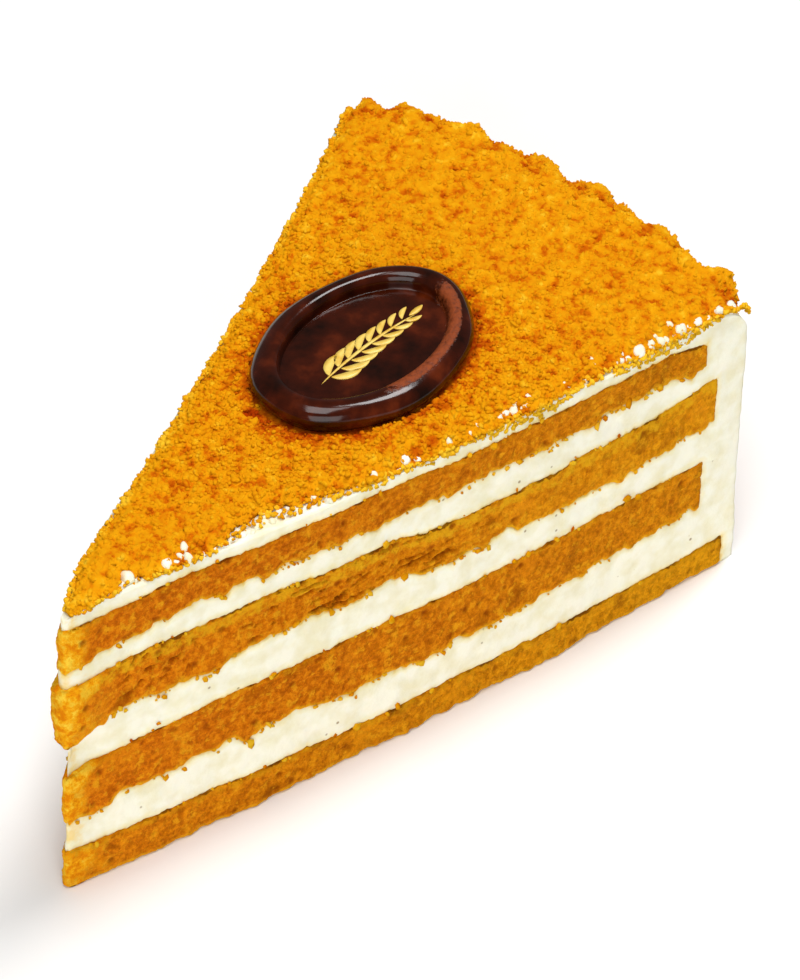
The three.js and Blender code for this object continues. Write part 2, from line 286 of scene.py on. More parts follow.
def extrude(bm, shift):
    """Extrudes all faces, moves the new ones by the shift and returns their vertices."""
    made = bmesh.ops.extrude_face_region(bm, geom=bm.faces[:])
    verts = [part for part in made["geom"] if isinstance(part, bmesh.types.BMVert)]
    bmesh.ops.translate(bm, verts=verts, vec=shift)
    return verts


# %% [markdown]
# ## Camera, floor and light
#
# The camera stands above the tip and looks down on the near cut, with a long lens, so the slice
# hardly narrows with distance. Its angles and place were fitted to the slice's corners. The floor
# is plain and pale. A soft box hangs overhead, as over a studio table, a wide one in front fills
# the cut face, and a smaller one behind is the window that the seal's rim mirrors.

# %% Camera
FRAME_HEIGHT = 980  # the picture's height in pixels, its longer side
FOCAL_PIXELS = 7000.0
SENSOR = 36.0
CAMERA_AZIMUTH = math.radians(-54.5557)
CAMERA_ELEVATION = math.radians(42.7686)
CAMERA_ROLL = math.radians(1.67884)
CAMERA_DISTANCE = 983.407
CAMERA_SHIFT = (10.9137, 3.6295)
LOOK_AT = Vector((AXIS_X + 63.4, AXIS_Y, 26.0))

camera = bpy.data.objects.new("camera", bpy.data.cameras.new("camera"))
scene.collection.objects.link(camera)
camera.data.sensor_width = SENSOR
camera.data.lens = FOCAL_PIXELS / FRAME_HEIGHT * SENSOR
camera.data.clip_start, camera.data.clip_end = 0.1, 20.0
turn = (Matrix.Rotation(CAMERA_AZIMUTH, 4, "Z") @ Matrix.Rotation(math.pi / 2 - CAMERA_ELEVATION, 4, "X")
        @ Matrix.Rotation(CAMERA_ROLL, 4, "Z"))
stand = LOOK_AT + turn @ Vector((*CAMERA_SHIFT, CAMERA_DISTANCE))
camera.matrix_world = Matrix.Translation(stand * MM) @ turn
scene.camera = camera
print(f"lens {camera.data.lens:.0f} mm at {CAMERA_DISTANCE:.0f} mm")

# %% Floor
# Matte paper has no gloss and hardly any pattern, so only the slice's soft shadow shows on it.
FLOOR_SIZE = 6.0
FLOOR_DROP = 0.05  # it lies this far below the slice
paper, tree, shader, read = finish("matte_paper_sweep", {"fibre": (40, 3.0, 0.5)})
shade = node(tree, "ValToRGB", {"Fac": read["fibre"]}, [(0.3, "#f4f3f1"), (0.7, "#f8f8f7")])
plug(shader, {"Base Color": shade.outputs["Color"], "Roughness": 0.9, "Specular IOR Level": 0.2})

bm = bmesh.new()
bmesh.ops.create_grid(bm, x_segments=2, y_segments=2, size=FLOOR_SIZE / 2)
bmesh.ops.translate(bm, verts=bm.verts[:], vec=(0, 0, cad_box[0].z - FLOOR_DROP * MM))
floor_mesh = bpy.data.meshes.new("floor")
bm.to_mesh(floor_mesh)
bm.free()
floor_mesh.materials.append(paper)
floor = bpy.data.objects.new("floor", floor_mesh)
scene.collection.objects.link(floor)

# %% Light
scene.view_settings.view_transform = "Standard"
scene.view_settings.look = "None"
scene.view_settings.exposure = 0.0
world = bpy.data.worlds.new("studio")
world.use_nodes = True
plug(world.node_tree.nodes["Background"], {"Color": linear("#ffffff"), "Strength": 0.14})
scene.world = world


def soft_light(name, direction, distance, size, power):
    """A rectangular soft box that faces the slice. The direction is the scene's, from the slice."""
    lamp = bpy.data.lights.new(name, "AREA")
    lamp.shape = "RECTANGLE"
    lamp.size, lamp.size_y = size
    lamp.energy = power
    made = bpy.data.objects.new(name, lamp)
    scene.collection.objects.link(made)
    away = Vector(direction).normalized()
    made.location = LOOK_AT * MM + away * distance
    made.rotation_euler = away.to_track_quat("Z", "Y").to_euler()


soft_light("overhead", direction=(-0.16, -0.06, 1.0), distance=0.9, size=(0.35, 0.6), power=4.3)
soft_light("front_fill", direction=(-0.85, -0.62, 0.42), distance=2.0, size=(1.4, 1.5), power=22.5)
soft_light("back_window", direction=(0.44, -0.05, 0.88), distance=1.1, size=(0.3, 0.4), power=6.6)

# %% [markdown]
# ## The sponges
#
# A honey sponge is baked as a thin sheet. Cut with a knife, it shows a fine open grain, small
# pores and, in one sheet, flat cracks where the knife dragged it. Its top was the oven side, so
# it ends in a thin dark skin, while its underside tears and is ragged against the cream.
# A bump texture alone would leave the outlines straight, so the grain is real relief: a fine grid
# is drawn as the near cut face, extruded through to the far one, and each vertex is set in place
# by a few layers of noise. The distances to the skin and to the underside are kept as attributes,
# and the colours follow them.

# %% A block of layers
SIDE_TURN = math.pi / 2 - HALF_WEDGE
PIT_RADIUS = 0.42  # of the pits' spacing
PIT_GAP = 0.25  # where a place's own noise is below this it has no pit


def cut_face(columns, rows):
    """A grid that stands for the near cut face: x and y run from 0 to 1, z is v."""
    bm = bmesh.new()
    bmesh.ops.create_grid(bm, x_segments=columns, y_segments=rows, size=0.5)
    bmesh.ops.translate(bm, verts=bm.verts[:], vec=(0.5, 0.5, -1))
    return bm


def run_through(bm, cuts):
    """Extrudes the cut face to the far side and divides the walls between."""
    extrude(bm, (0, 0, 2))
    walls = [edge for edge in bm.edges if abs(edge.verts[0].co.z - edge.verts[1].co.z) > 1]
    bmesh.ops.subdivide_edges(bm, edges=walls, cuts=cuts, use_grid_fill=True)


def is_cut(u, v):
    """Whether a vertex of the block lies on a cut face or on the blunt tip."""
    return abs(v) > 0.999 or u < 1e-6


def outward(v):
    """Which way the cut faces and the blunt tip between them face, in plan."""
    return Vector((-math.cos(v * SIDE_TURN), math.sin(v * SIDE_TURN), 0))


def rough(point, size, seed):
    """Smooth noise between about -1 and 1 with bumps of the given size."""
    return noise.noise((point.x / size + 7.3 * seed, point.y / size - 3.1 * seed, point.z / size))


def relief(point, layers, index=0):
    """Layers of rough noise added up. Each is given as (depth, size, seed), all in millimetres."""
    return sum(depth * rough(point, size, seed + index) for depth, size, seed in layers)


def pits(point, size, seed):
    """0 over most of the surface, rising to 1 in the middle of scattered round pits."""
    spot = Vector((point.x / size + 5.7 * seed, point.y / size, point.z / size + 2.3 * seed))
    near, centre = (found[0] for found in noise.voronoi(spot))
    return clamp(1 - near / PIT_RADIUS) * (noise.cell(centre * 3.7) > PIT_GAP)


def curve(*pairs):
    """A curve through a few given (millimetre, height) pairs, worked out at every millimetre."""
    return np.interp(np.arange(200), *zip(*pairs)).tolist()


def look_up(curve_at, place):
    return mix(curve_at[int(place)], curve_at[int(place) + 1], place - int(place))


# %% Torn outlines of a sponge
# A real layer sags and swells where the cream under it was thick or thin. SAG is how far each level
# departs from its straight run, by distance from the cake's middle, as the photo shows it.
SAG = {
    (0, "top"): curve((0, 0), (16, 1.1), (24, 0.7), (45, 0), (125, 0.3)),
    (1, "bottom"): curve((5, -1.3), (9, -1.6), (13, 0), (40, 0.6), (47, -1), (84, -1.1), (104, -0.5),
                         (113, 0)),
    (1, "top"): curve((5, -2.6), (7.5, -1.6), (9, -1.2), (16, 0), (27, 0.9), (58, 1.1), (66, 0.6),
                      (125, 0.5)),
    (2, "bottom"): curve((4, -2), (9, 0), (28, 0.5), (33, 1.5), (58, 1.6), (64, -0.1), (100, -0.7),
                         (113, 0.4)),
    (2, "top"): curve((4, -0.6), (16, 0.4), (36, 0.9), (57, -0.1), (63, -1.6), (104, -1.7), (113, -0.2)),
    (3, "bottom"): curve((4, -2.5), (9, -1), (16, -0.9), (22, 0.4), (34, 0.8), (47, 0), (107, 0),
                         (113, -1)),
    (3, "top"): curve((4, -0.4), (10, 0), (20, 0.9), (45, 1.2), (58, 1.1), (68, 0.6), (125, 0.5)),
}
RAG = {  # (height, length, seed) of the noise along a torn outline
    "top": ((0.25, 1.9, 0), (0.25, 0.7, 9)),
    "bottom": ((0.9, 2.9, 3), (0.35, 0.9, 6)),
}
FLAKE_HEIGHT, FLAKE_LENGTH, FLAKE_SEED = 2.6, 3.1, 12
FLAKE_FROM = 0.15  # flakes hang only where their noise is above this


def ragged_level(index, side, r, v):
    """A sponge's level with its torn outline: a fine ragged top, a bottom with hanging flakes."""
    level = sponge_level(index, side, r, v)
    if (index, side) not in SAG:
        return level
    level += look_up(SAG[index, side], r)
    level += sum(height * noise.noise((r / length, v, index + seed)) for height, length, seed in RAG[side])
    if side == "bottom":
        level -= FLAKE_HEIGHT * clamp(noise.noise((r / FLAKE_LENGTH, v, index + FLAKE_SEED)) - FLAKE_FROM)
    return level


# %% Relief of a sponge
SPONGE_PITCH = 0.27  # spacing of the grid on the cut faces
SPONGE_CUTS = 9  # and divisions between them
SPONGE_PROUD = 0.10  # the sponge stands out of the cream by this much
SPONGE_RELIEF = ((0.15, 0.75, 0), (0.2, 2.4, 0), (0.09, 0.375, 5))  # crumb, larger tears, fine crumb
KNIFE_BEND = ((0.35, 11, 3), (0.18, 5, 8))
PORE_PITCH = 2.7
PORE_DEPTH = 0.28
CRACK_DEPTH = 0.9
CRACKED = 2  # the third sponge is the one with cracks
CRACKS_AT = (26, 38, 62, 78)
HOLLOWS_AT = (11, 15, 22, 27)
HOLLOWS_ABOVE = (31, 33)
ROUND_OFF, ROUND_DEPTH = 0.35, 0.3  # the edge against the cream turns in over this width
FOOT_TOP = (0.5, 2.8)  # the base sponge dried on its tray and broke off unevenly
FOOT_FROM = (12, 30)


def cracks(r, z, index):
    """Flat cracks of the third sponge, and its deep hollows towards the tip."""
    if index != CRACKED:
        return 0.0
    streak = noise.noise((r / 4.2, z / 0.55, 4.4)) + 0.35 * noise.noise((r / 1.3, z / 0.4, 9.1))
    hollow = noise.noise((r / 1.5, z / 0.9, 2.2))
    return max(window(r, *CRACKS_AT) * smoothstep(streak, 0.34, 0.52),
               window(r, *HOLLOWS_AT) * smoothstep(z, *HOLLOWS_ABOVE) * smoothstep(hollow, 0.16, 0.4))


def make_sponge(index, material, slot):
    sponge = SPONGES[index]
    height = sponge["top"][0] - sponge["bottom"][0]
    bm = cut_face(round((sponge["rim"] - TIP_START) / SPONGE_PITCH), round(height / SPONGE_PITCH))
    run_through(bm, SPONGE_CUTS)
    layers = [bm.verts.layers.float.new(name) for name in ("below", "above", "tip", "crack")]
    for vert in bm.verts:
        u, w, v = vert.co
        r = mix(TIP_START, sponge["rim"], u)
        low, high = ragged_level(index, "bottom", r, v), ragged_level(index, "top", r, v)
        z = mix(low, high, w)
        point = Vector((*plan(r, v, sponge["swell"]), z))
        crack, pore = cracks(r, z, index), pits(point, PORE_PITCH, index)
        for layer, value in zip(layers, (high - z, z - low, r - TIP_START, max(crack, pore))):
            vert[layer] = value
        if is_cut(u, v):
            step = SPONGE_PROUD + relief(point, KNIFE_BEND) + relief(point, SPONGE_RELIEF, index)
            step -= ROUND_DEPTH * (1 - smoothstep(min(high - z, z - low), 0, ROUND_OFF))
            step -= PORE_DEPTH * pore + CRACK_DEPTH * crack
            if index == 0:
                foot = (1 - smoothstep(z, *FOOT_TOP)) * smoothstep(r, *FOOT_FROM)
                step += foot * (0.45 * rough(point.xy.to_3d(), 1.9, 21) + 0.35 * rough(point, 4.6, 22))
            point += outward(v) * step
        vert.co = point
    finish_piece(f"honey_sponge_{index + 1}", bm, material, slot, (f"sponge_{index + 1}",))


# %% [markdown]
# Honey sponge is a baked foam of flour, egg and honey: dull, warm brown where the honey has
# browned, lighter on the walls of its small bubbles. Diffuse colour does nearly all the work.
# The colours go from the shadow in a pore to the lit crumb, mixed by noise at the real grain size,
# with slow clouds over several millimetres as no sheet bakes evenly.

# %% Sponge finishes


def sponge_finish(name, pore, body, light, crust, crust_depth, crust_share, blotch, warmth):
    made, tree, shader, read = finish(
        name,
        {"grain": (1.0, 5.0, 0.72), "cloud": (6, 4.0, 0.5), "fleck": (1.6, 4.0, 0.7),
         "fine": (0.5, 4.0, 0.75), "wander": (1.8, 4.0, 0.5), "broken": (4.5, 2.0, 0.5),
         "patch": (3.2, 4.0, 0.5)},
        ("below", "above", "tip", "crack"),
    )
    cloud, fleck = read["cloud"], read["fleck"]
    # Distances from the skin, the underside and the tip, made ragged by noise
    under, lower, from_tip = (
        node(tree, "Math", {0: read[ragged], 1: strength, 2: read[distance]},
             operation="MULTIPLY_ADD").outputs[0]
        for ragged, strength, distance in (("wander", -1.6, "below"), ("wander", -1.4, "above"),
                                           ("patch", 14.0, "tip"))
    )
    # How strongly the crust and the skin show from place to place
    crusted, skinned = (
        node(tree, "MapRange", {0: read[key], 1: start, 2: end, 3: least, 4: most},
             interpolation_type="SMOOTHSTEP").outputs[0]
        for key, start, end, least, most in (("fleck", 0.42, 0.54, 0.25 * crust_share, crust_share),
                                             ("broken", 0.46, 0.6, 0.1, 0.8))
    )
    along = node(tree, "MapRange", {0: read["tip"], 1: 0.0, 2: 110.0}).outputs[0]
    # The third ramp is painted light: a paler yellow for the blunt tip, where the side light falls.
    crumb, zone, painted_tip_light = (
        node(tree, "ValToRGB", {"Fac": value}, stops).outputs["Color"]
        for value, stops in (
            (read["grain"], [(0.38, pore), (0.5, body), (0.61, light)]),
            (along, [(0.0, "#ee8410"), (0.3, "#d47a08"), (1.0, "#e6ac12")]),
            (fleck, [(0.38, "#e88406"), (0.5, "#f8ac12"), (0.62, "#ffd440")]),
        )
    )
    colour = node(tree, "Mix", {0: warmth, 6: crumb, 7: zone}, data_type="RGBA").outputs[2]
    colour = wash(tree, colour, [
        (cloud, 0.42, 0.30, blotch, "#7c3800"),  # darker where it baked longer
        (cloud, 0.55, 0.72, 0.5, light),
        (fleck, 0.52, 0.66, 0.6, "#f2ae1c"),  # lit walls of bubbles
        (fleck, 0.44, 0.32, 0.5, pore),
        (under, crust_depth - 0.6, crust_depth - 1.2, crusted, crust),  # the drier crust
        (under, -0.42, -0.62, skinned, "#5a2804"),  # the oven skin
        (lower, 0.3, -0.6, 0.85, "#efb020"),  # the torn underside
        (from_tip, 11.5, 7.5, 0.95, painted_tip_light),  # painted light: the blunt tip is paler, where the side light falls on it
        # Painted shade: the cracks and pores, which are also cut into the relief, are darkened.
        (read["crack"], 0.2, 0.9, 0.7, "#7a2800"),
    ])
    bump = node(tree, "Bump", {"Height": read["fine"], "Strength": 1.0, "Distance": 0.35 * MM})
    plug(shader, {"Base Color": colour, "Normal": bump.outputs["Normal"], "Roughness": 1.0,
                  "Specular IOR Level": 0.04})
    return made


honey_sponge = sponge_finish(
    "honey_sponge", pore="#9c4000", body="#cc6606", light="#e68a10",
    crust="#d08a0c", crust_depth=1.0, crust_share=0.3, blotch=0.4, warmth=0.3)
torn_sponge = sponge_finish(
    "torn_honey_sponge", pore="#a84800", body="#d67206", light="#f29a14",
    crust="#e8ac18", crust_depth=2.4, crust_share=0.7, blotch=0.45, warmth=0.4)
base_sponge = sponge_finish(
    "soaked_base_sponge", pore="#8c3e00", body="#cc7406", light="#ee9c14",
    crust="#d29410", crust_depth=1.2, crust_share=0.5, blotch=0.8, warmth=0.45)

for index, material in enumerate((base_sponge, honey_sponge, torn_sponge, honey_sponge)):
    make_sponge(index, material, "sponge" if index else "base_sponge")

# %% [markdown]
# ## The cream
#
# The cream is one body: three fillings, the coat over the top and the wall at the rim, smoothed
# on with a palette knife and cut clean through. So it is made as one comb. The grid of the
# cut face covers the whole section, its squares over the sponges are deleted, and what is left is
# extruded through. The teeth reach a little way under the sponges' edges, so no gap can show.

# %% The cream's section
CREAM_PITCH = 0.42
CREAM_CUTS = 11  # divisions between the cut faces
WALL_ROWS = 0.8  # coarser rows beside the sponges
UNDERLAP = 0.8  # how far the cream reaches under a sponge's edge
SHOULDER_IN, SHOULDER_DOWN = 6.6, 5.4  # the rounding over the rim
TIP_DROP, TIP_SLOPE_LENGTH = 1.2, 11  # the top sags by this much at the very tip, over this length
COAT_WAVE, COAT_WAVE_LENGTH = 0.25, 12
COAT_BAND = 7  # the topmost of the comb's bands, counted from the foot
FAR_AWAY = 99.0


def tip_slope(r):
    """1 at the tip, 0 from a centimetre inwards."""
    return (1 - smoothstep(r, TIP_START, TIP_START + TIP_SLOPE_LENGTH)) ** 2


def cream_levels(r, v):
    """Heights of the cream's borders from the foot to the top: sponge, filling, sponge, ..."""
    levels = [0.0]
    for index in range(len(SPONGES)):
        if index:
            levels.append(ragged_level(index, "bottom", r, v) + UNDERLAP)
        levels.append(ragged_level(index, "top", r, v) - UNDERLAP)
    return levels + [fall(CREAM_TOP, r) + COAT_WAVE * waves(r / COAT_WAVE_LENGTH, WAVES_ACROSS * v, 40)]


def row_plan():
    """The rows of the comb as (band, share of the band), with rows as fine as each band needs."""
    levels = cream_levels(TIP_START, 0)
    rows = []
    for band in range(COAT_BAND + 1):
        pitch = CREAM_PITCH if band % 2 else WALL_ROWS
        steps = round((levels[band + 1] - levels[band]) / pitch)
        rows += [(band, step / steps) for step in range(steps)]
    return rows + [(COAT_BAND, 1.0)]


def round_shoulder(r, z, top):
    """Rounds the section's corner at the rim, as a square is pulled into a disc."""
    a = (r - (CREAM_RADIUS - SHOULDER_IN)) / SHOULDER_IN
    b = (z - (top - SHOULDER_DOWN)) / SHOULDER_DOWN
    if a <= 0 or b <= 0:
        return r, z
    across, upward = a * math.sqrt(1 - b * b / 2), b * math.sqrt(1 - a * a / 2)
    return CREAM_RADIUS - SHOULDER_IN * (1 - across), top - SHOULDER_DOWN * (1 - upward)


def from_sponge(r, z, v, band):
    """Distance from the nearest sponge's outline: positive in the cream, negative under a sponge."""
    nearest = FAR_AWAY
    for index in {band // 2, min((band + 1) // 2, len(SPONGES) - 1)}:
        low, high = ragged_level(index, "bottom", r, v), ragged_level(index, "top", r, v)
        above = max(z - high, low - z if index else -FAR_AWAY)
        beyond = r - SPONGES[index]["rim"]
        inside = max(above, beyond)
        outside = math.hypot(max(above, 0), max(beyond, 0))
        nearest = min(nearest, outside if inside > 0 else inside)
    return nearest


# %% Make the cream
RIM_WAVE, RIM_WAVE_FROM = 0.5, 12  # the rim's wall is uneven by this much
SPREAD_FROM = (10, 40)  # from here the divisions crowd towards the cut faces
SMEAR_DEPTH, SMEAR_SIZE = 0.14, 6  # long marks of the knife, three times as long as high
DAB = ((0.12, 1.7, 2),)
TOP_DAB = ((0.25, 2.6, 4),)
DIVE, DIVE_WITHIN = 1.3, (0.05, 0.8)  # under a sponge's edge the cream turns inward


def make_cream(material):
    rows = row_plan()
    columns = round((CREAM_RADIUS - TIP_START) / CREAM_PITCH)
    bm = cut_face(columns, len(rows) - 1)
    cut = []
    for face in bm.faces:
        middle = face.calc_center_median()
        band = rows[int(middle.y * (len(rows) - 1))][0]
        rim = SPONGES[band // 2]["rim"] - UNDERLAP
        if band % 2 == 0 and mix(TIP_START, CREAM_RADIUS, middle.x) < rim:
            cut.append(face)
    bmesh.ops.delete(bm, geom=cut, context="FACES")
    run_through(bm, CREAM_CUTS)
    soak, tip = (bm.verts.layers.float.new(name) for name in ("soak", "tip"))
    for vert in bm.verts:
        u, w, v = vert.co
        r = mix(TIP_START, CREAM_RADIUS, u)
        v = mix(v, math.copysign(abs(v) ** (1 / 3), v), smoothstep(r, *SPREAD_FROM))
        band, share = rows[round(w * (len(rows) - 1))]
        levels = cream_levels(r, v)
        z = mix(levels[band], levels[band + 1], share)
        if band == COAT_BAND:
            z -= share * TIP_DROP * tip_slope(r)
        r_round, z = round_shoulder(r, z, levels[-1])
        at_rim = smoothstep(r, CREAM_RADIUS - RIM_WAVE_FROM, CREAM_RADIUS)
        r_round += RIM_WAVE * waves(2.2 * v, z / 16, 41) * at_rim
        x, y = plan(r_round, v, CREAM_SWELL[band // 2])
        point = Vector((x, y, z))
        away = from_sponge(r, z, v, band)
        if is_cut(u, v):
            smear = SMEAR_DEPTH * rough(Vector((x, y, 3 * z)), SMEAR_SIZE, 1) + relief(point, DAB)
            dive = DIVE * smoothstep(-away, *DIVE_WITHIN)
            point += outward(v) * (relief(point, KNIFE_BEND) + smear - dive)
        elif band == COAT_BAND and share == 1.0:
            point.z += relief(point, TOP_DAB)
        vert[soak], vert[tip] = away, r - TIP_START
        vert.co = point
    replaced = ("filling_1", "filling_2", "filling_3", "cream_coat")
    finish_piece("sour_cream", bm, material, "cream", replaced)


# %% [markdown]
# Sour cream with sugar is white with the least warmth, smooth and slightly wet. Light goes a
# millimetre or two into it, so its edges glow. Where it touches a sponge it has drunk some syrup
# and turned straw yellow, and a knife leaves a few dark crumbs in it.

# %% Cream finish
sour_cream, tree, shader, read = finish(
    "whipped_sour_cream",
    {"wander": (1.3, 3.0, 0.5), "cloud": (3.5, 3.0, 0.5), "patch": (2.2, 4.0, 0.5), "whip": (1.1, 4.0, 0.6)},
    ("soak", "tip"),
)
reach = node(tree, "Math", {0: read["wander"], 1: -1.5, 2: read["soak"]}, operation="MULTIPLY_ADD").outputs[0]
soaked = node(tree, "MapRange", {0: reach, 1: -1.4, 2: 0.4}).outputs[0]
stain = node(tree, "ValToRGB", {"Fac": soaked},
             [(0.0, "#e9b83a"), (0.22, "#f0d27a"), (0.5, "#f8eec6"), (1.0, "#f9f6e4")]).outputs["Color"]
tone = node(tree, "ValToRGB", {"Fac": read["cloud"]}, [(0.35, "#f0ecd8"), (0.6, "#fbfbf8")]).outputs["Color"]
colour = node(tree, "Mix", {0: 1.0, 6: stain, 7: tone}, data_type="RGBA", blend_type="MULTIPLY").outputs[2]
edge = node(tree, "Math", {0: read["patch"], 1: 14.0, 2: read["tip"]}, operation="MULTIPLY_ADD").outputs[0]
colour = wash(tree, colour, [(edge, 8.5, 5.0, 0.6, "#ecc23a")])
spots = node(tree, "TexVoronoi", {"Vector": read["place"], "Scale": per(4.2)}).outputs["Distance"]
speck = node(tree, "MapRange", {0: spots, 1: 0.04, 2: 0.075, 3: 0.8, 4: 0.0}).outputs[0]
colour = node(tree, "Mix", {0: speck, 6: colour, 7: linear("#8a7038")}, data_type="RGBA").outputs[2]
bump = node(tree, "Bump", {"Height": read["whip"], "Strength": 0.35, "Distance": 0.25 * MM}).outputs["Normal"]
plug(shader, {
    "Base Color": colour, "Normal": bump, "Roughness": 0.5, "IOR": 1.4,
    "Subsurface Weight": 0.25, "Subsurface Radius": (1.0, 0.8, 0.5), "Subsurface Scale": 1.5 * MM,
})
make_cream(sour_cream)

# %% [markdown]
# ## The crumbs
#
# Trimmings of sponge are dried, crushed and pressed onto the cream, on the top and down the rim.
# Single crumbs are under a millimetre. They cling together in clusters of one or two millimetres
# and leave dark pits between them. First comes the bed, a lumpy sheet that closes the ground. Its
# grid is drawn flat, as if the rim were folded up level with the top, and every vertex is then
# laid over the shoulder and down. A place on this sheet is given by its length s from the cake's
# middle, over the shoulder and down the rim, and by v as before.

# %% The crumbs' section
CORNER_IN, CORNER_DOWN = 7.0, 6.0
CORNER_LENGTH = math.pi / 2 * math.sqrt((CORNER_IN ** 2 + CORNER_DOWN ** 2) / 2)
CRUMB_FOOT = 1.0
FLAT_LENGTH = CAKE_RADIUS - CORNER_IN
WALL_TOP = fall(CRUMB_TOP, CAKE_RADIUS) - CORNER_DOWN
SHEET_LENGTH = FLAT_LENGTH + CORNER_LENGTH + WALL_TOP - CRUMB_FOOT

seal_low, seal_high = (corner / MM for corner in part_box("chocolate_seal"))
seal_middle = (seal_low + seal_high) / 2
TOP_SLOPE = (CRUMB_TOP[1] - CRUMB_TOP[0]) / CAKE_RADIUS
SEAL_LENGTH, SEAL_WIDTH = 37.4, 26.2
SEAL_TURN = math.radians(-2)
SEAL_SUNK = 0.5  # the seal is pressed this far into the crumbs
SEAL_BASE = fall(CRUMB_TOP, seal_middle.x - AXIS_X) - SEAL_SUNK


def crumb_section(s):
    """Where the crumbs' outside lies after a length s from the middle: r, height and slant."""
    turn = clamp((s - FLAT_LENGTH) / CORNER_LENGTH) * math.pi / 2
    r = min(s, FLAT_LENGTH) + CORNER_IN * math.sin(turn)
    down = CORNER_DOWN * (1 - math.cos(turn)) + max(s - FLAT_LENGTH - CORNER_LENGTH, 0)
    return r, fall(CRUMB_TOP, r) - down, turn


# %% The torn edges of the crumbs
# The knife dragged the crumbs off the near edge in places. BARE is how wide a strip of cream it
# left there, by length from the middle, as the photo shows it.
BARE = curve((5, 0.1), (13, 0.4), (14.5, 2), (16, 1.8), (17.5, 0.4), (22, 0.1), (27, 0.7), (32, 2.3),
             (37, 3.7), (42, 2.5), (47, 1.6), (52, 0.1), (58, 0.8), (63, 0.1), (84, 0), (89, 0.7), (94, 0.6),
             (99, 0))
BARE_WALL = (3.0, 1.5)  # the strip down the rim, at its top and further down
# How much painted light the crumbs get along the far edge and at the tip, and where:
GLOW = 0.6
GLOW_WITHIN = 3  # of the far edge
GLOW_TIP = (6, 15)
SHADE_REACH = 1.35  # the seal's painted shade and deeper pits end at this many times its outline


def torn(s, length, seed):
    """Noise along an edge."""
    return noise.noise((s / length, seed, 0))


def near_edge(s):
    """How far the crumbs stop short of the near cut: a ragged line, further in down the rim."""
    ragged = 0.8 * torn(s, 2.4, 4.7) + 0.5 * torn(s, 0.9, 1.2)
    top = max(look_up(BARE, s) + ragged * smoothstep(s, TIP_START, 12), 0.05)
    wall = FLAT_LENGTH + CORNER_LENGTH
    down = mix(*BARE_WALL, smoothstep(s, wall + 2, wall + 22)) + 0.4 * ragged
    return mix(top, down, smoothstep(s, FLAT_LENGTH + 2, wall))


def far_edge(s):
    ragged = 0.5 + 0.7 * torn(s, 4.3, 8.9) + 0.3 * torn(s, 1.5, 8.9)
    return (0.1 + 0.8 * clamp(ragged)) * smoothstep(s, TIP_START, 16)


def across(share, s):
    """A share of half the slice's angle as a distance."""
    return share * HALF_WEDGE * min(s, CAKE_RADIUS)


def edge_room(s, v):
    """Distance inside the ragged edges of the crumbs. Negative places have no crumbs."""
    return min(across(v + 1, s) - near_edge(s), across(1 - v, s) - far_edge(s))


def on_sheet(s, v, room):
    """Whether a place is on the sheet of crumbs, with this much room to its ragged edges."""
    return TIP_START <= s <= SHEET_LENGTH and abs(v) <= 1 and edge_room(s, v) >= room


def painted_edge_glow(s, v):
    """Painted light: crumbs along the far edge and at the tip are painted paler, for the light that comes
    through them.
    """
    return GLOW * max(1 - smoothstep(across(1 - v, s), 0, GLOW_WITHIN), 1 - smoothstep(s, *GLOW_TIP))


def seal_room(x, y, margin=0.0):
    """Below 1 inside the seal's outline with a margin."""
    offset = Matrix.Rotation(-SEAL_TURN, 2) @ Vector((x - seal_middle.x, y - seal_middle.y))
    return math.hypot(offset.x / (SEAL_LENGTH / 2 + margin), offset.y / (SEAL_WIDTH / 2 + margin))


def seal_shade(x, y):
    """Near the seal the crumbs are packed, with deeper pits, and their colour gets painted shade."""
    return 1 - smoothstep(seal_room(x, y), 1.0, SHADE_REACH)


# %% Height of the crumbs
CLUMP_PITCH, CLUMP_HEIGHT, CLUMP_MEAN = 1.9, 0.5, 0.42
CRUMB_RELIEF = ((0.3, 8, 12), (0.3, 1.3, 13))
CLUSTER_HEIGHT, CLUSTER_SIZE = 3.0, 4.2  # bunches of crumbs over the shoulder
CRUMB_PIT_PITCH = 2.6
PIT_DEPTH, SHADED_PIT_DEPTH = 0.6, 0.7
EDGE_TAPER, TAPER_WITHIN = 1.2, (-0.3, 2.2)  # the crumbs thin out towards their edges
SEAL_MARGIN, SEAL_BED = 0.6, 0.25  # under the seal the bed is flat and lies this far below it
CRUMB_BACK, CRUMB_DROP = 0.9, 0.3  # at the tip the crumbs stand back and sag with the cream


def lumps(point, turn):
    """Height of the bed's crumbs over its mean, in millimetres. They cluster over the shoulder."""
    near = noise.voronoi([side / CLUMP_PITCH for side in point])[0][0]
    cluster = CLUSTER_HEIGHT * rough(point.xy.to_3d(), CLUSTER_SIZE, 14) * math.sin(2 * turn)
    depth = PIT_DEPTH + SHADED_PIT_DEPTH * seal_shade(point.x, point.y)
    pit = depth * pits(point, CRUMB_PIT_PITCH, 15)
    return CLUMP_HEIGHT * (CLUMP_MEAN - near) + relief(point, CRUMB_RELIEF) + cluster - pit


def on_crumbs(s, v):
    """The place on the crumbs' outside, the way it faces, and the height of its lumps."""
    r, z, turn = crumb_section(s)
    x, y = plan(r, v)
    bump = lumps(Vector((x, y, z)), turn)
    if seal_room(x, y, SEAL_MARGIN) < 1:
        z = SEAL_BASE - SEAL_BED + TOP_SLOPE * (x - seal_middle.x)
        bump = 0.0
    height = bump - EDGE_TAPER * (1 - smoothstep(edge_room(s, v), *TAPER_WITHIN))
    x, y = plan(r + height * math.sin(turn), v)
    x += CRUMB_BACK * tip_slope(s)
    z += height * math.cos(turn) - (TIP_DROP + CRUMB_DROP) * tip_slope(s)
    angle = v * HALF_WEDGE
    facing = Vector((math.sin(turn) * math.cos(angle), math.sin(turn) * math.sin(angle), math.cos(turn)))
    return Vector((x, y, z)), facing, bump


